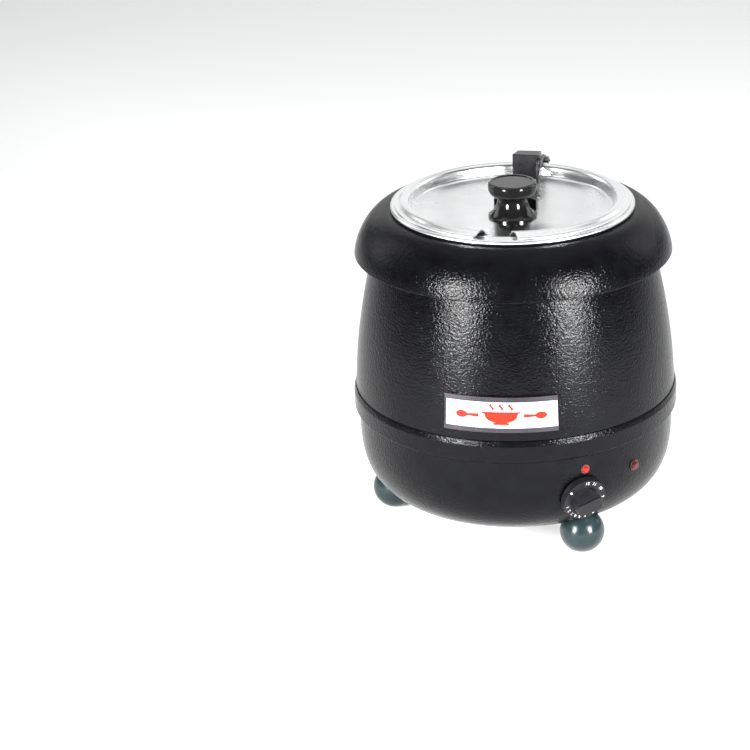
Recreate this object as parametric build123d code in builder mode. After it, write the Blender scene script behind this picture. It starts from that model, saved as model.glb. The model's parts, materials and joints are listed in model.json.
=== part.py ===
"""Electric soup kettle: a round wet-well food warmer with a lift-out pot and a hinged lid.

Frame: millimetres, +Z up, origin on the counter under the kettle's axis.
The front, where the label holder sits, faces -Y. Azimuths are measured from the
front towards +X. The pot, its hinge and its lid share one frame, which is turned
a little about the axis because the loose pot never stands exactly square.
"""

import os
from math import atan2, cos, degrees, radians, sin

from build123d import *

os.makedirs("parts", exist_ok=True)

# ---------------------------------------------------------------- driving dimensions
SHEET = 1.2                    # painted steel of the housing
COLLAR_SHEET = 1.5
STEEL = 1.0                    # stainless of the pot, the lid and the well

BELLY_RADIUS = 169.4           # widest ring: the band round the joint of the housing
BAND_BOTTOM = 124.4
BAND_TOP = 148.1
BAND_BEVEL = 6.0               # height of the band's sloping upper edge
BASE_RADIUS = 164.2            # base bowl just under the band
BASE_FLOOR = 27.1              # underside of the base bowl
SHELL_JOINT = 136.0            # height where barrel and base bowl meet behind the band

BARREL_TOP_RADIUS = 140.0
DECK_HEIGHT = 308.2            # underside of the well's flange
SEAT_HEIGHT = 336.0            # flat ring that carries the pot's rim
COLLAR_HOLE = 124.6            # inner edge of the collar, round the seat of the neck ring
SEAT_OUTER = 127.0
HEM_RADIUS = 163.4             # lower edge of the collar
HEM_HEIGHT = 291.7

POT_TURN = -3.0                # degrees that the loose pot stands turned in the well
POT_INNER = 109.5
POT_FLOOR = 103.0
LIP_RADIUS = 122.2
LIP_TOP = 341.6
BEAD_RADIUS = 2.8
WELL_RADIUS = 121.0
WELL_FLOOR = 92.0

LID_RADIUS = 120.6
LID_DISC = 325.0               # top of the sunk middle of the lid
LID_CREST = 347.2
KNOB_RADIUS = 25.0
KNOB_TOP = 362.2
KNOB_WAIST = 15.4

HINGE_REACH = 137.0            # distance of the hinge pin from the axis
HINGE_HEIGHT = 342.0
PIN_RADIUS = 2.2
RUNNING_GAP = 0.06             # radial clearance of every shaft that turns

FOOT_RADIUS = 23.0
FOOT_CIRCLE = 131.0
FOOT_FLAT = 7.0
FOOT_AZIMUTHS = {"front_right": 35.4, "left": -84.6, "rear": 155.4}
FOOT_SCREW_SEAT = 46.0         # level seat of the foot screws, inside the bowl

DIAL_AZIMUTH = 28.6
DIAL_HEIGHT = 78.4
DIAL_RADIUS = 23.7
DIAL_GRIP_ANGLE = 17.0         # way the grip bar lies on the dial's face
POWER_LAMP = (29.4, 108.9)     # azimuth, height
HEAT_LAMP = (51.4, 95.2)
INLET = (180.0, 46.0)

LABEL_AZIMUTH = -0.25
LABEL_HALF_ANGLE = 19.5
LABEL_HEIGHT = 176.3
LABEL_HALF_HEIGHT = 18.2

# Control points of the base bowl's outer curve, from the band down to its floor.
BOWL_CURVE = [(BASE_RADIUS, 121.4), (165.1, 79.7), (167.3, BASE_FLOOR), (86.6, BASE_FLOOR)]
BARREL_BULGE = (159.5, 222.0)
BARREL_FOOT = (167.6, SHELL_JOINT)

DECK_SCREW_COUNT = 6
DECK_SCREW_CIRCLE = 131.0
DECK_OUTER = 139.0             # outer radius of the neck ring's flange and of the seal
RING_BASE = 311.0              # underside of the neck ring
NECK_RADIUS = 120.7
SEAT_STEP = 124.5              # outer edge of the neck ring's seat
SEAL_THICK = 1.8
COVER_RADIUS = 83.0
COVER_SCREW_CIRCLE = 76.0
COVER_SCREW_COUNT = 4

SCREW = 2.0                    # shank radius of the small screws
SCREW_HOLE = 2.2
SCREW_HEAD = 3.8
NUT_HALF = 3.5                 # half the width across flats of their nuts
NUT_BORE = 2.05
NUT_THICK = 3.2
FOOT_SCREW = 3.0

HEATER_RADIUS = 92.0
HEATER_THICK = 8.0
HEATER_HOLE = 12.0
CLAMP_RADIUS = 62.0
CLAMP_THICK = 3.0
STUD = 4.0
TERMINAL_Y = 67.4              # terminal block's middle, behind the axis
TERMINAL_BASE = 38.0
TERMINAL_HEIGHT = 18.0
POLE_PITCH = 11.0


# ---------------------------------------------------------------- helpers
def save(builder, name):
    """Label a finished sub-part and write it as one STEP file."""
    builder.part.label = name
    export_step(builder.part, f"parts/{name}.step")


def bezier(points, t):
    """Point and tangent of a cubic curve."""
    u = 1 - t
    weights = (u ** 3, 3 * u * u * t, 3 * u * t * t, t ** 3)
    slopes = (-3 * u * u, 3 * u * u - 6 * u * t, 6 * u * t - 3 * t * t, 3 * t * t)
    place = [sum(w * p[k] for w, p in zip(weights, points)) for k in (0, 1)]
    tangent = [sum(s * p[k] for s, p in zip(slopes, points)) for k in (0, 1)]
    return place, tangent


def bowl_at(height):
    """Outer radius of the base bowl at a height, and how far its face looks down."""
    low, high = 0.0, 1.0
    for _ in range(40):
        middle = (low + high) / 2
        place, tangent = bezier(BOWL_CURVE, middle)
        if place[1] > height:
            low = middle
        else:
            high = middle
    return place[0], degrees(atan2(-tangent[0], -tangent[1]))


def bowl_plane(azimuth, height):
    """Plane on the base bowl's outer face: z points straight out of the face, y up it."""
    radius, droop = bowl_at(height)
    turn, tip = radians(azimuth), radians(droop)
    return Plane(origin=(radius * sin(turn), -radius * cos(turn), height),
                 x_dir=(cos(turn), sin(turn), 0),
                 z_dir=(sin(turn) * cos(tip), -cos(turn) * cos(tip), -sin(tip)))


def corner(sketch, x, y):
    """The corner of a section that lies nearest to a point."""
    return sketch.vertices().sort_by_distance((x, y))[0]


POT_FRAME = Plane.XY.rotated((0, 0, POT_TURN))


def on_pot(plane):
    """The same plane, turned with the pot."""
    return Plane(POT_FRAME * plane)


# ---------------------------------------------------------------- housing
with BuildPart() as collar:
    # Domed cover: short flat round the seat, round shoulder, steep skirt, folded hem.
    with BuildSketch(Plane.XZ):
        with BuildLine():
            t = COLLAR_SHEET
            seat = Line((COLLAR_HOLE, SEAT_HEIGHT), (SEAT_OUTER, SEAT_HEIGHT))
            dome = Bezier(seat @ 1, (145.0, SEAT_HEIGHT), (161.0, 311.5), (HEM_RADIUS, HEM_HEIGHT))
            hem = Polyline(dome @ 1, (HEM_RADIUS - 3.5, HEM_HEIGHT), (HEM_RADIUS - 3.5, HEM_HEIGHT + t),
                           (HEM_RADIUS - t, HEM_HEIGHT + t))
            inside = Bezier(hem @ 1, (161.0 - t, 311.5), (144.3, SEAT_HEIGHT - t),
                            (SEAT_OUTER, SEAT_HEIGHT - t))
            Line(inside @ 1, (COLLAR_HOLE, SEAT_HEIGHT - t))
            Line((COLLAR_HOLE, SEAT_HEIGHT - t), seat @ 0)
        make_face()
    revolve(axis=Axis.Z)
save(collar, "collar")

with BuildPart() as neck_ring:
    # Top-hat ring on the well's flange: its top is the pot's seat, with a step under the collar.
    step = SEAT_HEIGHT - COLLAR_SHEET
    with BuildSketch(Plane.XZ):
        with BuildLine():
            Polyline((NECK_RADIUS - SHEET, RING_BASE), (DECK_OUTER, RING_BASE),
                     (DECK_OUTER, RING_BASE + SHEET), (NECK_RADIUS, RING_BASE + SHEET),
                     (NECK_RADIUS, step - SHEET), (SEAT_OUTER, step - SHEET), (SEAT_OUTER, step),
                     (SEAT_STEP, step), (SEAT_STEP, SEAT_HEIGHT), (NECK_RADIUS + 0.4, SEAT_HEIGHT),
                     (NECK_RADIUS - SHEET, SEAT_HEIGHT - 2.0), close=True)
        make_face()
    revolve(axis=Axis.Z)
    with Locations(Plane.XY.offset(RING_BASE + SHEET)):
        with PolarLocations(DECK_SCREW_CIRCLE, DECK_SCREW_COUNT):
            Hole(SCREW_HOLE, depth=SHEET)
save(neck_ring, "neck_ring")

with BuildPart() as well_seal:
    # Silicone washer between the well's flange and the neck ring.
    with BuildSketch(Plane.XY.offset(DECK_HEIGHT + STEEL)):
        Circle(DECK_OUTER)
        Circle(WELL_RADIUS + 0.5, mode=Mode.SUBTRACT)
        with PolarLocations(DECK_SCREW_CIRCLE, DECK_SCREW_COUNT):
            Circle(SCREW_HOLE, mode=Mode.SUBTRACT)
    extrude(amount=SEAL_THICK)
save(well_seal, "well_seal")

with BuildPart() as water_well:
    # Deep-drawn pan that holds the hot water round the pot.
    with BuildSketch(Plane.XZ) as well_section:
        with BuildLine():
            Polyline((0, WELL_FLOOR), (WELL_RADIUS, WELL_FLOOR), (WELL_RADIUS, DECK_HEIGHT),
                     (DECK_OUTER + 2, DECK_HEIGHT), (DECK_OUTER + 2, DECK_HEIGHT + STEEL),
                     (WELL_RADIUS - STEEL, DECK_HEIGHT + STEEL),
                     (WELL_RADIUS - STEEL, WELL_FLOOR + STEEL), (0, WELL_FLOOR + STEEL), close=True)
        make_face()
        fillet(corner(well_section, WELL_RADIUS, WELL_FLOOR), radius=15)
        fillet(corner(well_section, WELL_RADIUS - STEEL, WELL_FLOOR + STEEL), radius=14)
    revolve(axis=Axis.Z)
    with Locations(Plane.XY.offset(DECK_HEIGHT + STEEL)):
        with PolarLocations(DECK_SCREW_CIRCLE, DECK_SCREW_COUNT):
            Hole(SCREW_HOLE, depth=STEEL)
save(water_well, "water_well")

with BuildPart() as barrel:
    # Bulging side of the housing, turned in at the top as a deck for the well.
    with BuildSketch(Plane.XZ):
        with BuildLine():
            deck = Line((124, DECK_HEIGHT), (BARREL_TOP_RADIUS, DECK_HEIGHT))
            ThreePointArc(deck @ 1, BARREL_BULGE, BARREL_FOOT)
            offset(amount=SHEET, side=Side.RIGHT)
        make_face()
    revolve(axis=Axis.Z)
    with Locations(Plane.XY.offset(DECK_HEIGHT)):
        with PolarLocations(DECK_SCREW_CIRCLE, DECK_SCREW_COUNT):
            Hole(SCREW_HOLE, depth=SHEET)
save(barrel, "barrel")

with BuildPart() as deck_screws:
    # Six pan-head screws through neck ring, seal, well flange and barrel deck.
    with Locations(Plane.XY.offset(RING_BASE + SHEET)):
        with PolarLocations(DECK_SCREW_CIRCLE, DECK_SCREW_COUNT):
            Cylinder(SCREW_HEAD, 2.6, align=(Align.CENTER, Align.CENTER, Align.MIN))
            Cylinder(SCREW, 12.0, align=(Align.CENTER, Align.CENTER, Align.MAX))
    chamfer(deck_screws.edges().group_by(Axis.Z)[-1], length=0.6)
save(deck_screws, "deck_screws")

with BuildPart() as deck_nuts:
    # Hexagon nuts under the deck.
    with BuildSketch(Plane.XY.offset(DECK_HEIGHT - SHEET)):
        with PolarLocations(DECK_SCREW_CIRCLE, DECK_SCREW_COUNT):
            RegularPolygon(NUT_HALF, 6, major_radius=False)
            Circle(NUT_BORE, mode=Mode.SUBTRACT)
    extrude(amount=-NUT_THICK)
save(deck_nuts, "deck_nuts")

with BuildPart() as band:
    # Raised band that covers the joint between barrel and base bowl.
    with BuildSketch(Plane.XZ):
        with BuildLine():
            Polyline((164.7, BAND_BOTTOM), (BELLY_RADIUS - 1.4, BAND_BOTTOM),
                     (BELLY_RADIUS, BAND_BOTTOM + 1.4), (BELLY_RADIUS, BAND_TOP - BAND_BEVEL),
                     (BELLY_RADIUS - 1.5, BAND_TOP - 0.6), (BELLY_RADIUS - 1.9, BAND_TOP), (167.3, BAND_TOP),
                     (167.9, SHELL_JOINT - 0.6), (164.7, SHELL_JOINT - 0.6), close=True)
        make_face()
    revolve(axis=Axis.Z)
save(band, "band")


def bowl_line(inset=0.0):
    """Line of the base bowl from its rim to its flat floor, outside or inset into the sheet."""
    rim, shoulder, belly, floor = BOWL_CURVE
    top = (rim[0] - inset, SHELL_JOINT - 0.8)
    Line(top, (rim[0] - inset, rim[1]))
    Bezier((rim[0] - inset, rim[1]), (shoulder[0] - inset, shoulder[1]),
           (belly[0] - inset, belly[1] + inset), (floor[0], floor[1] + inset))
    return top, (floor[0], floor[1] + inset)


def bowl_volume(inset):
    """Solid that fills the base bowl up to its outer or inner face; a tool, not a piece."""
    with BuildPart() as volume:
        with BuildSketch(Plane.XZ):
            with BuildLine():
                top, floor = bowl_line(inset)
                Polyline(floor, (0, floor[1]), (0, top[1]), top)
            make_face()
        revolve(axis=Axis.Z)
    return volume.part


FOOT_SPOTS = [(FOOT_CIRCLE * sin(radians(a)), -FOOT_CIRCLE * cos(radians(a)))
              for a in FOOT_AZIMUTHS.values()]
DIAL_PLANE = bowl_plane(DIAL_AZIMUTH, DIAL_HEIGHT)
POWER_PLANE = bowl_plane(*POWER_LAMP)
HEAT_PLANE = bowl_plane(*HEAT_LAMP)
INLET_PLANE = bowl_plane(*INLET)

with BuildPart() as base_bowl:
    # Bowl-shaped base with holes for thermostat, lamps, inlet, feet and cover screws.
    with BuildSketch(Plane.XZ):
        with BuildLine():
            outer_top, outer_floor = bowl_line()
            inner_top, inner_floor = bowl_line(SHEET)
            Line(outer_top, inner_top)
            Polyline(outer_floor, (70, BASE_FLOOR), (70, BASE_FLOOR + SHEET), inner_floor)
        make_face()
    revolve(axis=Axis.Z)
    for plane, radius in ((DIAL_PLANE, 5.2), (POWER_PLANE, 3.6), (HEAT_PLANE, 4.6), (INLET_PLANE, 8.2)):
        with BuildSketch(plane.offset(4)):
            Circle(radius)
        extrude(amount=-12, mode=Mode.SUBTRACT)
    with BuildSketch(Plane.XY.offset(BASE_FLOOR - 2)):
        with Locations(*FOOT_SPOTS):
            Circle(FOOT_SCREW + 0.2)
        with PolarLocations(COVER_SCREW_CIRCLE, COVER_SCREW_COUNT, start_angle=45):
            Circle(SCREW_HOLE)
    extrude(amount=30, mode=Mode.SUBTRACT)
save(base_bowl, "base_bowl")

with BuildPart() as bottom_cover:
    # Service cover under the base, with three arcs of vent slots.
    with BuildSketch(Plane.XY.offset(BASE_FLOOR - SHEET)):
        Circle(COVER_RADIUS)
        with PolarLocations(COVER_SCREW_CIRCLE, COVER_SCREW_COUNT, start_angle=45):
            Circle(SCREW_HOLE, mode=Mode.SUBTRACT)
        with PolarLocations(40, 12):
            SlotOverall(18, 3, mode=Mode.SUBTRACT)
    extrude(amount=SHEET)
save(bottom_cover, "bottom_cover")

with BuildPart() as cover_screws:
    # Pan-head screws of the service cover.
    with Locations(Plane.XY.offset(BASE_FLOOR - SHEET)):
        with PolarLocations(COVER_SCREW_CIRCLE, COVER_SCREW_COUNT, start_angle=45):
            Cylinder(SCREW_HEAD, 2.2, align=(Align.CENTER, Align.CENTER, Align.MAX))
            Cylinder(SCREW, 8.0, align=(Align.CENTER, Align.CENTER, Align.MIN))
    chamfer(cover_screws.edges().group_by(Axis.Z)[0], length=0.6)
save(cover_screws, "cover_screws")

with BuildPart() as cover_nuts:
    # Nuts of the service cover, inside the base.
    with BuildSketch(Plane.XY.offset(BASE_FLOOR + SHEET)):
        with PolarLocations(COVER_SCREW_CIRCLE, COVER_SCREW_COUNT, start_angle=45):
            RegularPolygon(NUT_HALF, 6, major_radius=False)
            Circle(NUT_BORE, mode=Mode.SUBTRACT)
    extrude(amount=NUT_THICK)
save(cover_nuts, "cover_nuts")

for foot_name, (foot_x, foot_y) in zip(FOOT_AZIMUTHS, FOOT_SPOTS):
    with BuildPart() as foot:
        # Ball foot with a small flat underneath; its top is moulded to the bowl.
        rise = (FOOT_RADIUS ** 2 - FOOT_FLAT ** 2) ** 0.5
        with BuildSketch(Plane((foot_x, foot_y, 0), x_dir=(1, 0, 0), z_dir=(0, -1, 0))):
            with BuildLine():
                Line((0, 0), (FOOT_FLAT, 0))
                ThreePointArc((FOOT_FLAT, 0), (FOOT_RADIUS, rise), (0, rise + FOOT_RADIUS))
                Line((0, rise + FOOT_RADIUS), (0, 0))
            make_face()
        revolve(axis=Axis((foot_x, foot_y, 0), (0, 0, 1)))
        add(bowl_volume(0.0), mode=Mode.SUBTRACT)
        with BuildSketch(Plane((foot_x, foot_y, 9))):
            Circle(FOOT_SCREW + 0.05)
        extrude(amount=60, mode=Mode.SUBTRACT)
    save(foot, f"foot_{foot_name}")

with BuildPart() as foot_washers:
    # Shaped washers that give the foot screws a level seat inside the bowl.
    with BuildSketch(Plane.XY.offset(BASE_FLOOR)):
        with Locations(*FOOT_SPOTS):
            Circle(9)
            Circle(FOOT_SCREW + 0.2, mode=Mode.SUBTRACT)
    extrude(amount=FOOT_SCREW_SEAT - BASE_FLOOR)
    add(bowl_volume(SHEET), mode=Mode.INTERSECT)
save(foot_washers, "foot_washers")

with BuildPart() as foot_screws:
    # Hexagon-head screws that go down through the bowl into the feet.
    with BuildSketch(Plane.XY.offset(FOOT_SCREW_SEAT)):
        with Locations(*FOOT_SPOTS):
            RegularPolygon(5, 6, major_radius=False)
    extrude(amount=4)
    with BuildSketch(Plane.XY.offset(FOOT_SCREW_SEAT)):
        with Locations(*FOOT_SPOTS):
            Circle(FOOT_SCREW)
    extrude(amount=-36.5)
save(foot_screws, "foot_screws")

# ---------------------------------------------------------------- label holder and card
def barrel_radius(height):
    """Outer radius of the barrel: the circle through its three outline points."""
    (ax, ay), (bx, by), (cx, cy) = (BARREL_TOP_RADIUS, DECK_HEIGHT), BARREL_BULGE, BARREL_FOOT
    d = 2 * (ax * (by - cy) + bx * (cy - ay) + cx * (ay - by))
    a2, b2, c2 = ax * ax + ay * ay, bx * bx + by * by, cx * cx + cy * cy
    ux = (a2 * (by - cy) + b2 * (cy - ay) + c2 * (ay - by)) / d
    uy = (a2 * (cx - bx) + b2 * (ax - cx) + c2 * (bx - ax)) / d
    r = ((ax - ux) ** 2 + (ay - uy) ** 2) ** 0.5
    return ux + (r * r - (height - uy) ** 2) ** 0.5


def label_plane(azimuth):
    """Plane at one end of the label holder: x out of the barrel's face, y up along it."""
    lean = atan2(barrel_radius(LABEL_HEIGHT - 15) - barrel_radius(LABEL_HEIGHT + 15), 30)
    turn = radians(azimuth)
    radius = barrel_radius(LABEL_HEIGHT)
    out = Vector(sin(turn), -cos(turn), 0)
    return Plane(origin=out * radius + Vector(0, 0, LABEL_HEIGHT),
                 x_dir=out * cos(lean) + Vector(0, 0, sin(lean)),
                 z_dir=(-cos(turn), -sin(turn), 0))


HOLDER_BACK = 1.1              # face of the holder's back, out from the barrel
HOLDER_LIP = 2.6               # inside of its lips
HOLDER_FRONT = 3.4
HOLDER_EDGE = 1.2
CARD_MIDDLE = (HOLDER_BACK + HOLDER_LIP) / 2
LABEL_START = LABEL_AZIMUTH - LABEL_HALF_ANGLE

with BuildPart() as label_holder:
    # Curved C-section rail with lips over the card's long edges and a stop at one end.
    h = LABEL_HALF_HEIGHT
    with BuildSketch(label_plane(LABEL_START)):
        with BuildLine():
            Polyline((0.3, -h), (HOLDER_FRONT, -h), (HOLDER_FRONT, 4.4 - h), (HOLDER_LIP, 4.4 - h),
                     (HOLDER_LIP, HOLDER_EDGE - h), (HOLDER_BACK, HOLDER_EDGE - h),
                     (HOLDER_BACK, h - HOLDER_EDGE), (HOLDER_LIP, h - HOLDER_EDGE),
                     (HOLDER_LIP, h - 5.0), (HOLDER_FRONT, h - 5.0), (HOLDER_FRONT, h), (0.3, h),
                     close=True)
        make_face()
    revolve(axis=Axis.Z, revolution_arc=2 * LABEL_HALF_ANGLE)
    with BuildSketch(label_plane(LABEL_START)):
        with Locations((CARD_MIDDLE, 0)):
            Rectangle(HOLDER_LIP - HOLDER_BACK, 2 * (h - HOLDER_EDGE))
    revolve(axis=Axis.Z, revolution_arc=0.35)
save(label_holder, "label_holder")

with BuildPart() as label_card:
    # Loose printed card that slides along the rails.
    with BuildSketch(label_plane(LABEL_START + 0.5)):
        with Locations((CARD_MIDDLE, 0)):
            Rectangle(0.7, 2 * h - 3.4)
    revolve(axis=Axis.Z, revolution_arc=2 * LABEL_HALF_ANGLE - 0.5)
save(label_card, "label_card")

# ---------------------------------------------------------------- lift-out pot
with BuildPart() as pot:
    # Stainless pot with a broad flat lip and a rolled edge.
    with BuildSketch(Plane.XZ) as pot_section:
        with BuildLine():
            outer = POT_INNER + STEEL
            Polyline((0, POT_FLOOR), (outer, POT_FLOOR), (outer, LIP_TOP - STEEL),
                     (LIP_RADIUS, LIP_TOP - STEEL), (LIP_RADIUS, LIP_TOP), (POT_INNER, LIP_TOP),
                     (POT_INNER, POT_FLOOR + STEEL), (0, POT_FLOOR + STEEL), close=True)
        make_face()
        fillet(corner(pot_section, outer, POT_FLOOR), radius=20)
        fillet(corner(pot_section, POT_INNER, POT_FLOOR + STEEL), radius=19)
        fillet(corner(pot_section, POT_INNER, LIP_TOP), radius=1.6)
        fillet(corner(pot_section, outer, LIP_TOP - STEEL), radius=0.6)
        with Locations((LIP_RADIUS, LIP_TOP - BEAD_RADIUS)):
            Circle(BEAD_RADIUS)
    revolve(axis=Axis.Z)
save(pot, "pot")

PIN_AXIS = on_pot(Plane(origin=(0, HINGE_REACH, HINGE_HEIGHT), x_dir=(0, 1, 0), z_dir=(-1, 0, 0)))

with BuildPart() as hinge_bracket:
    # Steel saddle spot-welded to the pot's rolled edge, with a knuckle for the hinge pin.
    with BuildSketch(on_pot(Plane.XY.offset(338.3))):
        with Locations((0, 130)):
            Rectangle(17, 16)
        Circle(LIP_RADIUS + BEAD_RADIUS + 0.02, mode=Mode.SUBTRACT)
    extrude(amount=1.8)
    with BuildSketch(PIN_AXIS.offset(-8.5)):
        Circle(4.4)
    extrude(amount=17)
    with BuildSketch(PIN_AXIS.offset(-9)):
        Circle(PIN_RADIUS + RUNNING_GAP)
    extrude(amount=18, mode=Mode.SUBTRACT)
save(hinge_bracket, "hinge_bracket")

# ---------------------------------------------------------------- lid
LID_LINE_FRONT = 104.0         # inner edge of the ladle notch
LID_SEAT = 29.0                # flat under the knob; outside it the disc rises gently to its wall
DISH_EDGE = 101.2
DISH_RISE = 8.8                # height of the disc's edge above its middle
WALL_RADIUS = 104.2
RIM_TOP = 342.9
NOTCH_OUTER = 124.0
NOTCH_HALF_OUTER = 27.5
NOTCH_HALF_INNER = 12.2
LEAF_SPOTS = [(14, 52), (-14, 52)]


def dish_line(drop=0.0):
    """Upper or lower line of the lid's gently dished disc, from the axis to the foot of its wall."""
    z = LID_DISC - drop
    Line((0, z), (LID_SEAT, z))
    Bezier((LID_SEAT, z), (52, z + 0.4), (82, z + 5.6), (DISH_EDGE + 0.3 * drop, z + DISH_RISE))


with BuildPart() as lid:
    # Pressed lid: dished disc, steep wall, broad round bead, flat rim; ladle notch at the front.
    with BuildSketch(on_pot(Plane.XZ)):
        with BuildLine():
            for drop in (0.0, STEEL):
                z = LID_DISC - drop
                crest = LID_CREST - drop
                dish_line(drop)
                wall = WALL_RADIUS + drop
                rim = RIM_TOP - drop
                Bezier((DISH_EDGE + 0.3 * drop, z + DISH_RISE), (wall - 1.0, z + 9.4),
                       (wall - 0.2, z + 10.2), (wall, z + 12.6))
                Line((wall, z + 12.6), (wall + 0.5, z + 16.0 + drop))
                Bezier((wall + 0.5, z + 16.0 + drop), (wall + 1.1, 345.6 - drop), (107.6, crest),
                       (110.6, crest))
                Bezier((110.6, crest), (114.6 - 0.6 * drop, crest), (115.6 - 0.6 * drop, rim), (118.8, rim))
                Line((118.8, rim), (LID_RADIUS, rim))
            Line((0, LID_DISC), (0, LID_DISC - STEEL))
            Line((LID_RADIUS, RIM_TOP), (LID_RADIUS, RIM_TOP - STEEL))
        make_face()
    revolve(axis=Axis.Z)
    with BuildSketch(on_pot(Plane.XY.offset(336))) as notch:
        with BuildLine():
            Polyline((-NOTCH_HALF_OUTER, -NOTCH_OUTER), (-NOTCH_HALF_INNER, -LID_LINE_FRONT),
                     (NOTCH_HALF_INNER, -LID_LINE_FRONT), (NOTCH_HALF_OUTER, -NOTCH_OUTER), close=True)
        make_face()
        fillet(notch.vertices().group_by(Axis.Y)[-1], radius=5)
    extrude(amount=14, mode=Mode.SUBTRACT)
    with BuildSketch(on_pot(Plane.XY.offset(LID_DISC))):
        Circle(2.6)
        with Locations(*LEAF_SPOTS):
            Circle(SCREW + 0.1)
    extrude(amount=6, both=True, mode=Mode.SUBTRACT)
save(lid, "lid")

with BuildPart() as lid_knob:
    # Spool-shaped moulded knob: bell foot, waist, cupped top with a raised ring.
    with BuildSketch(Plane.XZ):
        with BuildLine():
            foot_line = Polyline((0, LID_DISC), (KNOB_RADIUS, LID_DISC), (KNOB_RADIUS, LID_DISC + 1.8))
            bell = Bezier(foot_line @ 1, (KNOB_RADIUS - 3.6, LID_DISC + 4.0),
                          (KNOB_WAIST + 1.4, LID_DISC + 9.4), (KNOB_WAIST, LID_DISC + 16.6))
            waist = Line(bell @ 1, (KNOB_WAIST, LID_DISC + 18.6))
            cup = Bezier(waist @ 1, (KNOB_WAIST + 1.0, LID_DISC + 21.6),
                         (KNOB_RADIUS - 0.9, LID_DISC + 22.4), (KNOB_RADIUS - 0.1, KNOB_TOP - 7.0))
            brim = Line(cup @ 1, (KNOB_RADIUS, KNOB_TOP - 3.8))
            lip = ThreePointArc(brim @ 1, (KNOB_RADIUS - 0.8, KNOB_TOP - 1.0),
                                (KNOB_RADIUS - 3.2, KNOB_TOP))
            Polyline(lip @ 1, (KNOB_RADIUS - 4.4, KNOB_TOP), (KNOB_RADIUS - 5.2, KNOB_TOP - 0.9),
                     (0, KNOB_TOP - 0.9), (0, LID_DISC))
        make_face()
    revolve(axis=Axis.Z)
    with Locations(Plane.XY.offset(LID_DISC)):
        Cylinder(2.55, 32, align=(Align.CENTER, Align.CENTER, Align.CENTER), mode=Mode.SUBTRACT)
save(lid_knob, "lid_knob")

with BuildPart() as knob_screw:
    # Pan-head screw that holds the knob from inside the lid.
    with Locations(Plane.XY.offset(LID_DISC - STEEL - 1.0)):
        Cylinder(4.6, 3.0, align=(Align.CENTER, Align.CENTER, Align.MAX))
        Cylinder(2.5, 16, align=(Align.CENTER, Align.CENTER, Align.MIN))
    chamfer(knob_screw.edges().group_by(Axis.Z)[0], length=0.8)
save(knob_screw, "knob_screw")

with BuildPart() as knob_washer:
    # Flat washer under the knob screw's head.
    with BuildSketch(Plane.XY.offset(LID_DISC - STEEL)):
        Circle(7.5)
        Circle(2.6, mode=Mode.SUBTRACT)
    extrude(amount=-1.0)
save(knob_washer, "knob_washer")

LEAF_TOP = LID_DISC + 11.5
LEAF_HALF = 12.5               # half the width of the hinge leaf's hood
CHEEK = 2.3
STAY_OFFSET = 16.0             # side stay's inner face, from the hinge's middle plane
STAY_SHEET = 1.6
STAY_SPOT = (60.4, 333.0)      # cross bolt: reach and height
STAY_BOLT = on_pot(Plane(origin=(0, 0, 0), x_dir=(0, 1, 0), z_dir=(1, 0, 0)))

with BuildPart() as hinge_leaf:
    # Black leaf: strap on the sunk disc, upright web, sloping hood and two cheeks for the pin.
    with BuildSketch(on_pot(Plane.XY.offset(LID_DISC))):
        with BuildLine():
            Polyline((-22, 18), (-22, 30), (-15.2, 58), (-LEAF_HALF, 82), (-LEAF_HALF, 97),
                     (LEAF_HALF, 97), (LEAF_HALF, 82), (15.2, 58), (22, 30), (22, 18), close=True)
        make_face()
        Circle(27.6, mode=Mode.SUBTRACT)
    extrude(amount=LEAF_TOP - LID_DISC)
    with BuildSketch(on_pot(Plane.XZ)):
        with BuildLine():
            dish_line()
            Polyline((DISH_EDGE, LID_DISC + DISH_RISE), (DISH_EDGE, LID_DISC - 5), (0, LID_DISC - 5),
                     (0, LID_DISC))
        make_face()
    revolve(axis=Axis.Z, mode=Mode.SUBTRACT)
    with BuildSketch(on_pot(Plane(origin=(-LEAF_HALF, 0, 0), x_dir=(0, 1, 0), z_dir=(1, 0, 0)))):
        with BuildLine():
            Polyline((93.2, LEAF_TOP - 2), (93.2, 359.4), (94.6, 360.4), (139.4, 350.6), (140.2, 347.8),
                     (97.4, 357.2), (96.6, LEAF_TOP - 2), close=True)
        make_face()
    extrude(amount=2 * LEAF_HALF)
    for side in (-LEAF_HALF, LEAF_HALF - CHEEK):
        with BuildSketch(on_pot(Plane(origin=(side, 0, 0), x_dir=(0, 1, 0), z_dir=(1, 0, 0)))):
            with BuildLine():
                cheek = Polyline((95.0, 359), (95, 347.8), (121.4, 347.8), (125.6, 343.6),
                                 (130.8, HINGE_HEIGHT))
                below = ThreePointArc(cheek @ 1, (HINGE_REACH, 335.8), (143.2, HINGE_HEIGHT))
                Polyline(below @ 1, (139.8, 349.2), (95.0, 359))
            make_face()
        extrude(amount=CHEEK)
    with BuildSketch(PIN_AXIS.offset(-20)):
        Circle(PIN_RADIUS + 0.02)
    extrude(amount=40, mode=Mode.SUBTRACT)
    with BuildSketch(on_pot(Plane.XY.offset(LID_DISC))):
        with Locations(*LEAF_SPOTS):
            Circle(NUT_BORE)
    extrude(amount=8, mode=Mode.SUBTRACT)
    with BuildSketch(STAY_BOLT):
        with Locations(STAY_SPOT):
            Circle(NUT_BORE)
    extrude(amount=30, both=True, mode=Mode.SUBTRACT)
save(hinge_leaf, "hinge_leaf")

with BuildPart() as hinge_pin:
    # Headed pin through both cheeks and the bracket's knuckle.
    with BuildSketch(PIN_AXIS.offset(-22.5)):
        Circle(PIN_RADIUS)
    extrude(amount=35.1)
    with BuildSketch(PIN_AXIS.offset(12.6)):
        Circle(4.0)
    extrude(amount=2.4)
save(hinge_pin, "hinge_pin")

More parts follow.
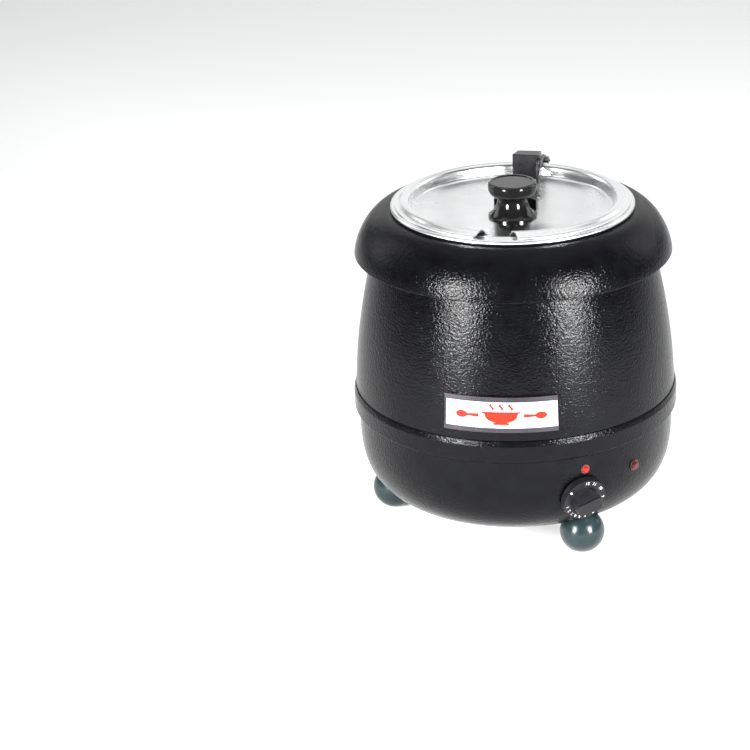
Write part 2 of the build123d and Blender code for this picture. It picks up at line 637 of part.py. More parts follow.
with BuildPart() as hinge_pin_nut:
    # Hexagon nut on the free end of the hinge pin.
    with BuildSketch(PIN_AXIS.offset(-STAY_OFFSET - STAY_SHEET - 0.05)):
        RegularPolygon(4.2, 6, major_radius=False)
        Circle(PIN_RADIUS + 0.02, mode=Mode.SUBTRACT)
    extrude(amount=-3.4)
save(hinge_pin_nut, "hinge_pin_nut")

with BuildPart() as hinge_pin_spacer:
    # Spacer tube between the cheek and the side stay.
    with BuildSketch(PIN_AXIS.offset(-12.55)):
        Circle(3.6)
        Circle(PIN_RADIUS + 0.02, mode=Mode.SUBTRACT)
    extrude(amount=12.6 - STAY_OFFSET)
save(hinge_pin_spacer, "hinge_pin_spacer")

with BuildPart() as hinge_stay:
    # Cranked side stay from the hinge pin over the lid's bead to the cross bolt.
    with BuildSketch(STAY_BOLT.offset(STAY_OFFSET)):
        with BuildLine():
            Polyline((58.2, 335.9), (92.0, 353.6), (119.0, 353.6), (138.5, 346.4), (134.0, 338.6),
                     (127.5, 343.6), (121.0, 348.2), (100.5, 348.2), (97.0, 344.0), (62.6, 330.1),
                     close=True)
        make_face()
        with Locations((HINGE_REACH, HINGE_HEIGHT)):
            Circle(5.0)
        with Locations(STAY_SPOT):
            Circle(3.6)
        with Locations((HINGE_REACH, HINGE_HEIGHT)):
            Circle(PIN_RADIUS + 0.02, mode=Mode.SUBTRACT)
        with Locations(STAY_SPOT):
            Circle(SCREW + 0.02, mode=Mode.SUBTRACT)
    extrude(amount=STAY_SHEET)
save(hinge_stay, "hinge_stay")

LEAF_SCREW_SEAT = LID_DISC + 0.3   # underside of the dished disc at the screws

with BuildPart() as leaf_screws:
    # Two screws from inside the lid that hold the leaf.
    with BuildSketch(on_pot(Plane.XY.offset(LEAF_SCREW_SEAT))):
        with Locations(*LEAF_SPOTS):
            Circle(3.8)
    extrude(amount=-2.4)
    with BuildSketch(on_pot(Plane.XY.offset(LEAF_SCREW_SEAT))):
        with Locations(*LEAF_SPOTS):
            Circle(2.0)
    extrude(amount=7.5)
save(leaf_screws, "leaf_screws")

with BuildPart() as stay_bolt:
    # Cross bolt through the strap that holds the side stay.
    with BuildSketch(STAY_BOLT.offset(-18)):
        with Locations(STAY_SPOT):
            Circle(2.0)
    extrude(amount=40.2)
    with BuildSketch(STAY_BOLT.offset(-15.9)):
        with Locations(STAY_SPOT):
            Circle(3.6)
    extrude(amount=-2.6)
save(stay_bolt, "stay_bolt")

with BuildPart() as stay_nut:
    # Nut of the cross bolt.
    with BuildSketch(STAY_BOLT.offset(STAY_OFFSET + STAY_SHEET + 0.05)):
        with Locations(STAY_SPOT):
            RegularPolygon(3.5, 6, major_radius=False)
            Circle(SCREW + 0.02, mode=Mode.SUBTRACT)
    extrude(amount=3.0)
save(stay_nut, "stay_nut")

# ---------------------------------------------------------------- thermostat, dial and lamps
with BuildPart() as thermostat:
    # Capillary thermostat: moulded body and threaded bush through the bowl.
    with BuildSketch(DIAL_PLANE.offset(-6)):
        Rectangle(34, 28)
    extrude(amount=-24)
    with BuildSketch(DIAL_PLANE.offset(-6)):
        Circle(5.1)
    extrude(amount=9)
    with BuildSketch(DIAL_PLANE.offset(4)):
        Circle(3.0 + RUNNING_GAP)
    extrude(amount=-24, mode=Mode.SUBTRACT)
save(thermostat, "thermostat")

with BuildPart() as thermostat_nut:
    # Thin nut on the bush, hidden under the dial.
    with BuildSketch(DIAL_PLANE.offset(0.3)):
        RegularPolygon(7, 6, major_radius=False)
        Circle(5.15, mode=Mode.SUBTRACT)
    extrude(amount=2.4)
save(thermostat_nut, "thermostat_nut")

with BuildPart() as dial_shaft:
    # Shaft that the dial turns.
    with BuildSketch(DIAL_PLANE.offset(-18)):
        Circle(3.0)
    extrude(amount=33)
save(dial_shaft, "dial_shaft")

DIAL_FACE = 7.6                # height of the skirt's printed face above the bowl
DIAL_GRIP_HEIGHT = 13.5        # grip above the skirt's face
DIAL_HUB = 14.7
DIAL_GRIP_HALF = 6.6           # half the width of the grip's top

with BuildPart() as dial:
    # Moulded dial: printed skirt and a hub with two sloping flats that leave a grip; hollow underneath.
    with BuildSketch(DIAL_PLANE.offset(0.9)):
        Circle(DIAL_RADIUS)
    extrude(amount=DIAL_FACE - 0.9, taper=9)
    with BuildSketch(DIAL_PLANE.offset(DIAL_FACE)):
        Circle(DIAL_HUB)
    extrude(amount=DIAL_GRIP_HEIGHT, taper=4)
    top_face = dial.faces().sort_by(lambda f: (f.center() - DIAL_PLANE.origin).dot(DIAL_PLANE.z_dir))[-1]
    fillet(top_face.edges(), radius=1.2)
    grip_turn = radians(DIAL_GRIP_ANGLE)
    along = DIAL_PLANE.x_dir * cos(grip_turn) + DIAL_PLANE.y_dir * sin(grip_turn)
    across = DIAL_PLANE.y_dir * cos(grip_turn) - DIAL_PLANE.x_dir * sin(grip_turn)
    for side in (1, -1):
        with BuildSketch(Plane(origin=DIAL_PLANE.origin, x_dir=across, z_dir=along)):
            with BuildLine():
                Polyline((side * DIAL_GRIP_HALF, DIAL_FACE + DIAL_GRIP_HEIGHT + 2),
                         (side * DIAL_GRIP_HALF, DIAL_FACE + DIAL_GRIP_HEIGHT - 2),
                         (side * (DIAL_HUB - 1.2), DIAL_FACE + 0.8), (side * 20, DIAL_FACE + 0.8),
                         (side * 20, DIAL_FACE + DIAL_GRIP_HEIGHT + 2), close=True)
            make_face()
        extrude(amount=20, both=True, mode=Mode.SUBTRACT)
    with BuildSketch(DIAL_PLANE):
        Circle(10)
    extrude(amount=3.4, mode=Mode.SUBTRACT)
    with BuildSketch(DIAL_PLANE):
        Circle(3.0)
    extrude(amount=15, mode=Mode.SUBTRACT)
save(dial, "dial")

for lamp_name, lamp_plane, lamp_radius in (("power", POWER_PLANE, 3.5), ("heat", HEAT_PLANE, 4.5)):
    with BuildPart() as lamp_body:
        # Snap-in lamp body with a thin bezel on the outside of the bowl.
        with BuildSketch(lamp_plane.offset(1.1)):
            Circle(lamp_radius + 1.2)
        extrude(amount=-0.9)
        with BuildSketch(lamp_plane.offset(0.6)):
            Circle(lamp_radius)
        extrude(amount=-22)
    save(lamp_body, f"{lamp_name}_lamp_body")
    with BuildPart() as lamp_lens:
        # Red lens, stepped and rounded.
        with BuildSketch(lamp_plane.offset(1.1)):
            Circle(lamp_radius + 0.4)
        extrude(amount=1.2)
        with BuildSketch(lamp_plane.offset(2.3)):
            Circle(lamp_radius - 0.2)
        extrude(amount=1.8, taper=30)
    save(lamp_lens, f"{lamp_name}_lamp_lens")

# ---------------------------------------------------------------- heater and wiring
with BuildPart() as heater_plate:
    # Flat ring heater pressed against the underside of the well.
    with BuildSketch(Plane.XY.offset(WELL_FLOOR)):
        Circle(HEATER_RADIUS)
        Circle(HEATER_HOLE, mode=Mode.SUBTRACT)
    extrude(amount=-HEATER_THICK)
save(heater_plate, "heater_plate")

with BuildPart() as heater_clamp:
    # Steel disc that presses the heater against the well.
    with BuildSketch(Plane.XY.offset(WELL_FLOOR - HEATER_THICK)):
        Circle(CLAMP_RADIUS)
        Circle(STUD + 0.1, mode=Mode.SUBTRACT)
    extrude(amount=-CLAMP_THICK)
save(heater_clamp, "heater_clamp")

with BuildPart() as heater_stud:
    # Stud welded to the middle of the well.
    with Locations(Plane.XY.offset(WELL_FLOOR)):
        Cylinder(STUD, 26, align=(Align.CENTER, Align.CENTER, Align.MAX))
save(heater_stud, "heater_stud")

with BuildPart() as heater_nut:
    # Nut that tightens the clamp disc.
    with BuildSketch(Plane.XY.offset(WELL_FLOOR - HEATER_THICK - CLAMP_THICK)):
        RegularPolygon(6.5, 6, major_radius=False)
        Circle(STUD + 0.02, mode=Mode.SUBTRACT)
    extrude(amount=-6.5)
save(heater_nut, "heater_nut")

with BuildPart() as heater_terminals:
    # Two blade terminals under the heater's edge.
    with BuildSketch(Plane.XY.offset(WELL_FLOOR - HEATER_THICK)):
        with Locations((-12, 76), (12, 76)):
            Rectangle(6.3, 0.8)
    extrude(amount=-11)
save(heater_terminals, "heater_terminals")

with BuildPart() as terminal_bracket:
    # Angle bracket that stands on the base bowl's floor.
    with BuildSketch(Plane.XY.offset(BASE_FLOOR + SHEET)):
        with Locations((0, 79.5)):
            Rectangle(36, 7)
    extrude(amount=SHEET)
    with BuildSketch(Plane.XY.offset(BASE_FLOOR + SHEET)):
        with Locations((0, 76)):
            Rectangle(36, SHEET)
    extrude(amount=30)
save(terminal_bracket, "terminal_bracket")

with BuildPart() as terminal_block:
    # Three-way terminal block on the bracket.
    with BuildSketch(Plane.XY.offset(TERMINAL_BASE)):
        with Locations((0, TERMINAL_Y)):
            Rectangle(34, 16)
    extrude(amount=TERMINAL_HEIGHT)
    with BuildSketch(Plane.XY.offset(TERMINAL_BASE + TERMINAL_HEIGHT)):
        with Locations((-POLE_PITCH, TERMINAL_Y), (0, TERMINAL_Y), (POLE_PITCH, TERMINAL_Y)):
            Circle(2.6)
    extrude(amount=-9, mode=Mode.SUBTRACT)
save(terminal_block, "terminal_block")

with BuildPart() as heater_leads:
    # Two sleeved leads from the terminal block to the heater's blades.
    for x in (-POLE_PITCH, POLE_PITCH):
        with BuildLine(Plane.YZ.offset(x)) as lead_line:
            FilletPolyline((TERMINAL_Y, 48), (TERMINAL_Y, 61), (75.2, 65), (75.2, 72.9), radius=4)
        with BuildSketch(Plane((x, TERMINAL_Y, 48))):
            Circle(1.2)
        sweep(path=lead_line.wire())
save(heater_leads, "heater_leads")

with BuildPart() as earth_stud:
    # Earth stud on the base bowl's floor.
    with Locations(Plane((42, 63, BASE_FLOOR + SHEET))):
        Cylinder(2.5, 15, align=(Align.CENTER, Align.CENTER, Align.MIN))
save(earth_stud, "earth_stud")

with BuildPart() as earth_nut:
    # Nut and washer of the earth stud.
    with BuildSketch(Plane((42, 63, BASE_FLOOR + SHEET + 1))):
        RegularPolygon(4, 6, major_radius=False)
        Circle(2.52, mode=Mode.SUBTRACT)
    extrude(amount=4)
save(earth_nut, "earth_nut")

BULB_AZIMUTH = 62.0
BULB_RADIUS = WELL_RADIUS + 4.3
BULB_SPOT = (BULB_RADIUS * sin(radians(BULB_AZIMUTH)), -BULB_RADIUS * cos(radians(BULB_AZIMUTH)))

with BuildPart() as sensor_bulb:
    # Thermostat's sensing bulb, upright against the well.
    with Locations(Plane((*BULB_SPOT, 115))):
        Cylinder(3, 70, align=(Align.CENTER, Align.CENTER, Align.MIN))
save(sensor_bulb, "sensor_bulb")

with BuildPart() as bulb_clips:
    # Two spring clips that hold the bulb.
    for height in (128, 165):
        with BuildSketch(Plane((*BULB_SPOT, height))):
            Circle(4.2)
            Circle(3.02, mode=Mode.SUBTRACT)
        extrude(amount=8)
save(bulb_clips, "bulb_clips")

with BuildPart() as capillary:
    # Fine copper tube from the thermostat to its bulb.
    start = DIAL_PLANE.from_local_coords(Vector(17, 0, -18))
    rise = DIAL_PLANE.from_local_coords(Vector(27, 0, -18))
    with BuildLine() as capillary_line:
        FilletPolyline(start, rise, (*BULB_SPOT, 100), (*BULB_SPOT, 115), radius=5)
    with BuildSketch(Plane(start, z_dir=rise - start)):
        Circle(0.8)
    sweep(path=capillary_line.wire())
save(capillary, "capillary")

with BuildPart() as thermal_cutout:
    # Safety cut-out on the side of the well, with two blades.
    cutout_plane = Plane(origin=(-WELL_RADIUS - 0.4, 0, 150), x_dir=(0, -1, 0), z_dir=(-1, 0, 0))
    with BuildSketch(cutout_plane):
        Circle(8)
    extrude(amount=7)
    with BuildSketch(cutout_plane.offset(7)):
        with Locations((-4, 0), (4, 0)):
            Rectangle(0.8, 6.3)
    extrude(amount=8)
save(thermal_cutout, "thermal_cutout")

with BuildPart() as inlet_gland:
    # Cable gland low at the back: moulded collar, round nose and threaded tail.
    with BuildSketch(INLET_PLANE.offset(-3)):
        RegularPolygon(11, 6, major_radius=False)
    extrude(amount=8)
    add(bowl_volume(0.0), mode=Mode.SUBTRACT)
    with BuildSketch(INLET_PLANE.offset(5)):
        Circle(9.6)
    extrude(amount=9, taper=14)
    with BuildSketch(INLET_PLANE.offset(5)):
        Circle(8)
    extrude(amount=-17)
    with BuildSketch(INLET_PLANE.offset(16)):
        Circle(4.2)
    extrude(amount=-30, mode=Mode.SUBTRACT)
save(inlet_gland, "inlet_gland")

with BuildPart() as gland_nut:
    # Lock nut of the gland, inside the bowl.
    with BuildSketch(INLET_PLANE.offset(-4.4)):
        RegularPolygon(10.5, 6, major_radius=False)
        Circle(8.05, mode=Mode.SUBTRACT)
    extrude(amount=-4)
save(gland_nut, "gland_nut")
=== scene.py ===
"""Looks of the electric soup kettle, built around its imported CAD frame.

Metres, +Z up. The front, with the card holder, faces -Y.
"""
import json
import math

import bpy
from mathutils import Matrix, Vector
from mathutils.bvhtree import BVHTree


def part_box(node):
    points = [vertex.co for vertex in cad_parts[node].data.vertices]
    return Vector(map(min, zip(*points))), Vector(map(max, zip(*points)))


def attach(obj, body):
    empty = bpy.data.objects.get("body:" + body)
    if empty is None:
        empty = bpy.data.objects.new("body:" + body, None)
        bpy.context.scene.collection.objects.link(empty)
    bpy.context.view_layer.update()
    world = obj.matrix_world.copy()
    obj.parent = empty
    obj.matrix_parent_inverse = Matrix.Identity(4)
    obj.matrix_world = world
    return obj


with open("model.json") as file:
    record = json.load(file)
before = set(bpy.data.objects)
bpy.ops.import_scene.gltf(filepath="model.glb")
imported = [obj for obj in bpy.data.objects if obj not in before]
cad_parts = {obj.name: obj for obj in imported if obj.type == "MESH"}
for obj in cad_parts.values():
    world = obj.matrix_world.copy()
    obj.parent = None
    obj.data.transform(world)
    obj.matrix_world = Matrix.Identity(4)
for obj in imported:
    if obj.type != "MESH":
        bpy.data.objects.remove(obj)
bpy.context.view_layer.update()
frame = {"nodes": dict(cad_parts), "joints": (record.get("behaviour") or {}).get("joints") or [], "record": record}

nodes = frame["nodes"]
joints = {j["name"]: j for j in frame["joints"]}
slot_of = {s["node"]: s["material_slot"] for s in frame["record"]["subparts"]}


# ---------------------------------------------------------------- node helpers
class Finish:
    """A Principled material under construction."""

    def __init__(self, name, color, roughness, metallic=0.0, **sockets):
        self.mat = bpy.data.materials.new(name)
        self.mat.use_nodes = True
        self.tree = self.mat.node_tree
        self.shader = self.tree.nodes["Principled BSDF"]
        self.shader.inputs["Base Color"].default_value = (*color, 1.0)
        self.shader.inputs["Roughness"].default_value = roughness
        self.shader.inputs["Metallic"].default_value = metallic
        for key, value in sockets.items():
            self.shader.inputs[key.replace("_", " ")].default_value = value
        self.coords = self.node("ShaderNodeTexCoord").outputs["Object"]

    def node(self, kind, **values):
        made = self.tree.nodes.new(kind)
        for key, value in values.items():
            setattr(made, key, value)
        return made

    def link(self, source, target):
        self.tree.links.new(source, target)

    def place(self, stretch=(1, 1, 1)):
        """Object coordinates, stretched."""
        mapping = self.node("ShaderNodeMapping")
        mapping.inputs["Scale"].default_value = stretch
        self.link(self.coords, mapping.inputs["Vector"])
        return mapping.outputs["Vector"]

    def noise(self, scale, detail=2.0, rough=0.5, stretch=(1, 1, 1)):
        made = self.node("ShaderNodeTexNoise")
        made.inputs["Scale"].default_value = scale
        made.inputs["Detail"].default_value = detail
        made.inputs["Roughness"].default_value = rough
        self.link(self.place(stretch), made.inputs["Vector"])
        return made.outputs["Fac"]

    def cells(self, scale, smooth=0.6):
        """Soft hammered cells."""
        made = self.node("ShaderNodeTexVoronoi", feature="SMOOTH_F1")
        made.inputs["Scale"].default_value = scale
        made.inputs["Smoothness"].default_value = smooth
        self.link(self.place(), made.inputs["Vector"])
        return made.outputs["Distance"]

    def spread(self, value, low, high, start=0.3, end=0.7):
        """A texture value mapped onto a range."""
        made = self.node("ShaderNodeMapRange")
        made.inputs["From Min"].default_value = start
        made.inputs["From Max"].default_value = end
        made.inputs["To Min"].default_value = low
        made.inputs["To Max"].default_value = high
        self.link(value, made.inputs["Value"])
        return made.outputs["Result"]

    def tint(self, value, dark, light, start=0.35, end=0.65):
        """Base colour that wanders between two tones."""
        ramp = self.node("ShaderNodeValToRGB")
        ramp.color_ramp.elements[0].position = start
        ramp.color_ramp.elements[0].color = (*dark, 1)
        ramp.color_ramp.elements[1].position = end
        ramp.color_ramp.elements[1].color = (*light, 1)
        self.link(value, ramp.inputs["Fac"])
        self.link(ramp.outputs["Color"], self.shader.inputs["Base Color"])

    def gloss(self, value, low, high, start=0.3, end=0.7):
        """Roughness that wanders between two values."""
        self.link(self.spread(value, low, high, start, end), self.shader.inputs["Roughness"])

    def bump(self, *layers, corner=None):
        """Relief from (texture value, depth in metres, strength) layers, over corners softened to a radius."""
        last = None
        if corner:
            soft = self.node("ShaderNodeBevel", samples=4)
            soft.inputs["Radius"].default_value = corner
            last = soft.outputs["Normal"]
        for value, depth, strength in layers:
            made = self.node("ShaderNodeBump")
            made.inputs["Distance"].default_value = depth
            made.inputs["Strength"].default_value = strength
            self.link(value, made.inputs["Height"])
            if last:
                self.link(last, made.inputs["Normal"])
            last = made.outputs["Normal"]
        self.link(last, self.shader.inputs["Normal"])


# ---------------------------------------------------------------- finishes
def hammered_black():
    f = Finish("hammered_black", (0.004, 0.004, 0.005), 0.26, Specular_IOR_Level=0.08)
    f.tint(f.noise(60, 4), (0.0010, 0.0010, 0.0014), (0.0017, 0.0018, 0.0023))
    f.gloss(f.noise(420, 2), 0.12, 0.2)
    f.bump((f.noise(430, 2, 0.5), 0.00062, 0.85), (f.cells(620), 0.0002, 0.5), (f.noise(1200, 2), 0.00008, 0.4),
           corner=0.0016)
    return f.mat


def satin_black():
    f = Finish("satin_black", (0.004, 0.004, 0.005), 0.3, Specular_IOR_Level=0.08)
    f.tint(f.noise(90, 3), (0.0010, 0.0010, 0.0013), (0.0017, 0.0018, 0.0022))
    f.bump((f.noise(900, 3), 0.0001, 0.6), (f.noise(430, 2, 0.5), 0.0006, 0.85), corner=0.0008)
    return f.mat


def polished_steel():
    f = Finish("polished_steel", (0.76, 0.77, 0.77), 0.24, 1.0, Anisotropic=0.6)
    tangent = f.node("ShaderNodeTangent", direction_type="RADIAL", axis="Z")
    f.link(tangent.outputs["Tangent"], f.shader.inputs["Tangent"])
    f.gloss(f.noise(26, 3), 0.19, 0.29)
    f.bump((f.noise(1500, 2), 0.00003, 0.35), (f.noise(14, 2), 0.0012, 0.10))
    return f.mat


def well_steel():
    f = Finish("well_steel", (0.66, 0.67, 0.66), 0.28, 1.0, Anisotropic=0.5)
    f.gloss(f.noise(30, 3), 0.22, 0.38)
    f.bump((f.noise(900, 2, stretch=(1, 1, 0.06)), 0.00006, 0.4),)
    return f.mat


def zinc():
    f = Finish("zinc", (0.56, 0.57, 0.55), 0.34, 1.0)
    f.tint(f.noise(70, 4), (0.46, 0.47, 0.46), (0.66, 0.67, 0.64))
    f.gloss(f.noise(160, 3), 0.26, 0.45)
    f.bump((f.noise(1400, 2), 0.00006, 0.4),)
    return f.mat


def bare_steel():
    f = Finish("bare_steel", (0.74, 0.74, 0.72), 0.2, 1.0)
    f.gloss(f.noise(200, 3), 0.14, 0.3)
    f.bump((f.noise(1600, 2), 0.00004, 0.4),)
    return f.mat


def moulded(name, dark, light, low, high, relief=0.00008, scale=700, shine=0.5, metal=0.0):
    """Moulded plastic, or drawn metal, with a little flow in its colour and gloss."""
    def made():
        f = Finish(name, light, (low + high) / 2, metal, Specular_IOR_Level=shine)
        f.tint(f.noise(45, 3), dark, light)
        f.gloss(f.noise(130, 3), low, high)
        f.bump((f.noise(scale, 3), relief, 0.5),)
        return f.mat
    return made


def lens(name, dark, light):
    """Moulded red lens."""
    def made():
        f = Finish(name, light, 0.22, Specular_IOR_Level=0.3)
        f.tint(f.noise(500, 2), dark, light)
        f.bump((f.noise(900, 2), 0.00012, 0.5),)
        return f.mat
    return made


def card_paper():
    f = Finish("card_paper", (0.30, 0.31, 0.34), 0.5, Specular_IOR_Level=0.15)
    f.tint(f.noise(25, 3), (0.27, 0.28, 0.32), (0.30, 0.31, 0.345))
    f.bump((f.noise(2600, 3), 0.00003, 0.5),)
    return f.mat


def braid():
    f = Finish("braid", (0.62, 0.6, 0.5), 0.85)
    f.tint(f.noise(900, 2, stretch=(1, 1, 0.4)), (0.5, 0.48, 0.4), (0.72, 0.7, 0.62))
    f.bump((f.cells(1500), 0.0003, 0.8),)
    return f.mat


def mica():
    f = Finish("mica", (0.5, 0.45, 0.36), 0.5, 0.6)
    f.tint(f.noise(60, 5), (0.36, 0.32, 0.25), (0.56, 0.52, 0.43))
    f.bump((f.noise(500, 4), 0.0002, 0.6),)
    return f.mat


FINISHES = {
    "hammered_black": hammered_black,
    "satin_black": satin_black,
    "polished_steel": polished_steel,
    "well_steel": well_steel,
    "hinge_black": moulded("hinge_black", (0.004, 0.004, 0.005), (0.007, 0.007, 0.008), 0.26, 0.38, shine=0.3),
    "bare_steel": bare_steel,
    "zinc_steel": zinc,
    "dial_shaft_steel": bare_steel,
    "knob_phenolic": moulded("knob_phenolic", (0.003, 0.003, 0.003), (0.005, 0.005, 0.005), 0.06, 0.12, 0.00003,
                             shine=0.4),
    "foot_phenolic": moulded("foot_phenolic", (0.006, 0.012, 0.013), (0.011, 0.019, 0.020), 0.18, 0.28, 0.00005,
                             shine=0.25),
    "dial_plastic": moulded("dial_plastic", (0.0030, 0.0030, 0.0040), (0.005, 0.005, 0.006), 0.3, 0.42,
                            shine=0.18),
    "holder_plastic": moulded("holder_plastic", (0.008, 0.006, 0.009), (0.013, 0.010, 0.014), 0.2, 0.3,
                              shine=0.3),
    "card_paper": card_paper,
    "red_lens": lens("red_lens", (0.12, 0.002, 0.002), (0.19, 0.004, 0.003)),
    "lamp_plastic": moulded("lamp_plastic", (0.02, 0.01, 0.01), (0.035, 0.014, 0.014), 0.3, 0.45),
    "seal_rubber": moulded("seal_rubber", (0.012, 0.012, 0.012), (0.022, 0.022, 0.022), 0.65, 0.85, 0.00015),
    "heater_mica": mica,
    "blade_brass": moulded("blade_brass", (0.5, 0.36, 0.14), (0.7, 0.54, 0.26), 0.25, 0.4, metal=1.0),
    "moulded_black": moulded("moulded_black", (0.010, 0.010, 0.011), (0.02, 0.02, 0.021), 0.42, 0.6, 0.00015),
    "moulded_white": moulded("moulded_white", (0.66, 0.66, 0.6), (0.78, 0.78, 0.72), 0.35, 0.5),
    "copper": moulded("copper", (0.55, 0.22, 0.1), (0.78, 0.38, 0.22), 0.2, 0.36, metal=1.0),
    "lead_sleeve": braid,
}
made_finishes = {}


def finish(slot):
    """The material of a record slot, made once."""
    if slot not in made_finishes:
        made_finishes[slot] = FINISHES[slot]()
    return made_finishes[slot]


def wear(obj, slot):
    """Gives an object the finish of one slot."""
    obj.data.materials.clear()
    obj.data.materials.append(finish(slot))


for name, node in nodes.items():
    wear(node, slot_of[name])
unlit = lens("unlit_lens", (0.022, 0.001, 0.001), (0.036, 0.002, 0.002))
nodes["heat_lamp_lens"].data.materials[0] = unlit()


# ---------------------------------------------------------------- printed details
def print_white():
    f = Finish("print_white", (0.4, 0.4, 0.4), 0.5, Specular_IOR_Level=0.15)
    f.tint(f.noise(900, 2), (0.34, 0.34, 0.34), (0.44, 0.44, 0.44))
    return f.mat


def print_red():
    f = Finish("print_red", (0.24, 0.009, 0.003), 0.5, Specular_IOR_Level=0.1)
    f.tint(f.noise(300, 3), (0.21, 0.008, 0.0025), (0.26, 0.011, 0.004))
    f.bump((f.noise(2600, 3), 0.00002, 0.4),)
    return f.mat


DIAL_FACE = 0.0076             # printed face above the bowl
DIGIT_RING = 0.0194            # radius of the figures' middles
DIGIT_SIZE = 0.0046
PRINT_LIFT = 0.00003           # print above its face
CARD_LIFT = 0.00012
DIGITS = (("0", 54.6), ("1", 104), ("2", 120), ("3", 136), ("4", 151), ("5", 166), ("6", 184), ("7", 210),
          ("8", 238), ("9", 270), ("10", 304), ("11", 333), ("12", 357))


def digit_mesh(text, size):
    """Flat raised figure, centred, lying in XY."""
    curve = bpy.data.curves.new("figure", "FONT")
    curve.body = text
    curve.size = size
    curve.align_x = "CENTER"
    curve.align_y = "CENTER"
    curve.extrude = 0.00004
    curve.offset = 0.00003
    temp = bpy.data.objects.new("figure", curve)
    bpy.context.scene.collection.objects.link(temp)
    bpy.context.view_layer.update()
    mesh = bpy.data.meshes.new_from_object(temp.evaluated_get(bpy.context.evaluated_depsgraph_get()))
    bpy.data.objects.remove(temp)
    return mesh


def add_mesh(name, points, faces, material):
    mesh = bpy.data.meshes.new(name)
    mesh.from_pydata(points, [], faces)
    mesh.validate()
    obj = bpy.data.objects.new(name, mesh)
    bpy.context.scene.collection.objects.link(obj)
    mesh.materials.append(material)
    return obj


def dial_figures():
    """White figures round the dial's skirt, each with its top outwards."""
    joint = joints["dial_turn"]
    out = Vector(joint["axis"]).normalized()
    right = Vector((0, 0, 1)).cross(out).normalized()
    up = out.cross(right)
    origin = Vector(joint["pos_m"]) + out * DIAL_FACE
    points, faces = [], []
    for text, turn in DIGITS:
        mesh = digit_mesh(text, DIGIT_SIZE)
        spin = Matrix.Rotation(math.radians(turn), 3, "Z")
        base = len(points)
        for v in mesh.vertices:
            flat = spin @ (v.co + Vector((0, DIGIT_RING, 0)))
            points.append(origin + right * flat.x + up * flat.y + out * (flat.z + PRINT_LIFT))
        faces += [[base + i for i in p.vertices] for p in mesh.polygons]
        bpy.data.meshes.remove(mesh)
    obj = add_mesh("dial_figures", points, faces, print_white())
    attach(obj, "dial")


def card_surface():
    """Returns a function from (distance along the card, height above its middle) to a point off its face."""
    tree = BVHTree.FromObject(nodes["label_card"], bpy.context.evaluated_depsgraph_get())
    low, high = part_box("label_card")
    middle = (low.z + high.z) / 2
    radius = -low.y

    def place(along, rise):
        turn = along / radius
        out = Vector((math.sin(turn), -math.cos(turn), 0))
        hit, normal, _, _ = tree.ray_cast(out * 0.3 + Vector((0, 0, middle + rise)), -out)
        return hit + normal * CARD_LIFT
    return place


def ribbon(points, faces, place, pairs):
    """Adds a strip of quads between two lines on the card; pairs are ((s, z), (s, z)) in millimetres."""
    base = len(points)
    for first, second in pairs:
        points.append(place(first[0] / 1000, first[1] / 1000))
        points.append(place(second[0] / 1000, second[1] / 1000))
    for i in range(len(pairs) - 1):
        k = base + 2 * i
        faces.append((k, k + 1, k + 3, k + 2))


def between(low, high, count):
    return [low + (high - low) * i / count for i in range(count + 1)]


def bowl_shape(width, height, base):
    """Round bowl seen from the side, as upright strips."""
    pairs = []
    for s in between(-width / 2, width / 2, 24):
        depth = height * math.sqrt(max(0.0, 1 - (2 * s / width) ** 2)) ** 0.8
        pairs.append(((s, base + height), (s, base + height - max(depth, 0.15))))
    return pairs


def bar_shape(start, end, low, high):
    return [((s, high), (s, low)) for s in between(start, end, 16)]


def steam_shape(centre, low, high, wave, width):
    """Wavy stroke of steam, pointed at both ends."""
    pairs = []
    for t in between(0, 1, 20):
        z = low + (high - low) * t
        s = centre + wave * math.sin(t * 2 * math.pi)
        half = width / 2 * math.sin(math.pi * min(max(t, 0.03), 0.97)) ** 0.5
        pairs.append(((s - half, z), (s + half, z)))
    return pairs


def spoon_shape(start, end, z, head, neck):
    """Spoon lying flat: an oval head and a slim handle that widens to its end."""
    pairs = []
    flip = 1 if end > start else -1
    length = abs(end - start)
    for t in between(0, 1, 40):
        d = t * length
        if d < head * 2:
            half = max(head * 0.62 * math.sqrt(max(0.0, 1 - ((d - head) / head) ** 2)), 0.1)
            if d > head:
                half = max(half, neck)
        else:
            half = neck + 0.8 * (d - 2 * head) / (length - 2 * head)
        s = start + flip * d
        pairs.append(((s, z + half), (s, z - half)))
    return pairs


def card_picture():
    """Generic picture on the card: a steaming bowl between two spoons."""
    place = card_surface()
    points, faces = [], []
    shapes = [bowl_shape(34, 10.0, -8.6), bar_shape(-19.5, 19.5, 1.2, 3.0), bar_shape(-8, 8, -10.4, -8.2)]
    shapes += [steam_shape(s, 4.2, 11.6, 1.4, 3.0) for s in (-9.5, 0, 9.5)]
    shapes += [spoon_shape(-46, -22.5, -1.0, 6.0, 1.2), spoon_shape(46, 22.5, -1.0, 6.0, 1.2)]
    for pairs in shapes:
        ribbon(points, faces, place, pairs)
    obj = add_mesh("card_picture", points, faces, print_red())
    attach(obj, "card")


dial_figures()
card_picture()


# ---------------------------------------------------------------- floor, light and camera
def floor():
    bpy.ops.mesh.primitive_plane_add(size=40, location=(0, 0, 0))
    plane = bpy.context.object
    plane.name = "floor"
    f = Finish("floor_paper", (0.86, 0.86, 0.86), 0.9, Specular_IOR_Level=0.1)
    plane.data.materials.append(f.mat)


STRIP_AWAY = 1.6
SIDE_AWAY = 2.2


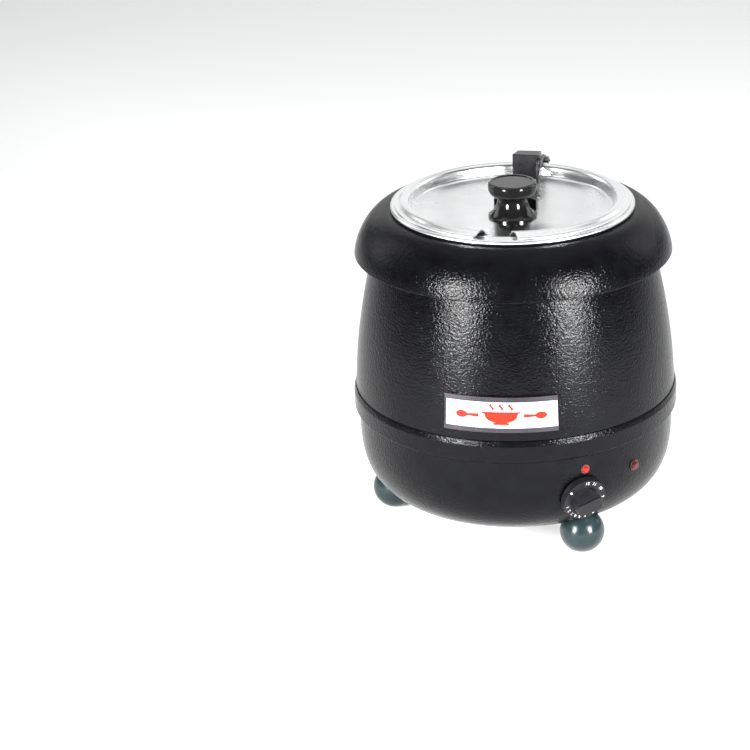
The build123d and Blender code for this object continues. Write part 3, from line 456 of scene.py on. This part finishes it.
def soft_box(name, place, aim, size, power):
    """Rectangular studio light that faces a point."""
    lamp = bpy.data.lights.new(name, "AREA")
    lamp.shape = "RECTANGLE"
    lamp.size, lamp.size_y = size
    lamp.energy = power
    obj = bpy.data.objects.new(name, lamp)
    bpy.context.scene.collection.objects.link(obj)
    obj.location = place
    obj.rotation_euler = (aim - place).to_track_quat("-Z", "Y").to_euler()


def around(azimuth, elevation, distance, centre=(0, 0, 0.18)):
    """Point seen at this azimuth and elevation from the object, azimuth 0 in front."""
    a, e = math.radians(azimuth), math.radians(elevation)
    way = Vector((math.sin(a) * math.cos(e), -math.cos(a) * math.cos(e), math.sin(e)))
    return Vector(centre) + distance * way


def lights():
    world = bpy.data.worlds.new("studio")
    bpy.context.scene.world = world
    world.use_nodes = True
    world.node_tree.nodes["Background"].inputs["Color"].default_value = (0.95, 0.97, 1.0, 1)
    world.node_tree.nodes["Background"].inputs["Strength"].default_value = 0.2
    middle = Vector((0, 0, 0.2))
    soft_box("overhead", Vector((0.0, 0.3, 2.1)), middle, (2.6, 1.9), 16)
    soft_box("back_wall", Vector((0.0, 2.6, 1.35)), Vector((0, 0, 0.3)), (4.2, 2.2), 27)
    for side, azimuth in (("left", -34), ("right", 46)):
        soft_box(side + "_strip", around(azimuth, 14, STRIP_AWAY), middle, (0.26, 0.66), 96)
    for side, azimuth in (("left", -112), ("right", 122)):
        soft_box("side_" + side, around(azimuth, 25, SIDE_AWAY), middle, (0.9, 1.4), 8)


VIEW_AZIMUTH, VIEW_ELEVATION, VIEW_ROLL = 5, 22.95, -0.906   # degrees
VIEW_AWAY = 2.4
VIEW_LENS = 109.56
VIEW_SHIFT = (-0.187, -0.0065)
VIEW_AIM = Vector((0, 0, 0.1535))


def camera():
    """Camera at the view that the object is shown from."""
    data = bpy.data.cameras.new("view")
    data.sensor_width = 36
    data.lens = VIEW_LENS
    data.shift_x, data.shift_y = VIEW_SHIFT
    data.clip_start, data.clip_end = 0.05, 60
    cam = bpy.data.objects.new("view", data)
    bpy.context.scene.collection.objects.link(cam)
    cam.location = around(VIEW_AZIMUTH, VIEW_ELEVATION, VIEW_AWAY, VIEW_AIM)
    tilt = (VIEW_AIM - cam.location).to_track_quat("-Z", "Y")
    roll = Matrix.Rotation(math.radians(VIEW_ROLL), 4, "Z")
    cam.matrix_world = Matrix.Translation(cam.location) @ tilt.to_matrix().to_4x4() @ roll
    bpy.context.scene.camera = cam
    bpy.context.scene.view_settings.view_transform = "Standard"


floor()
lights()
camera()
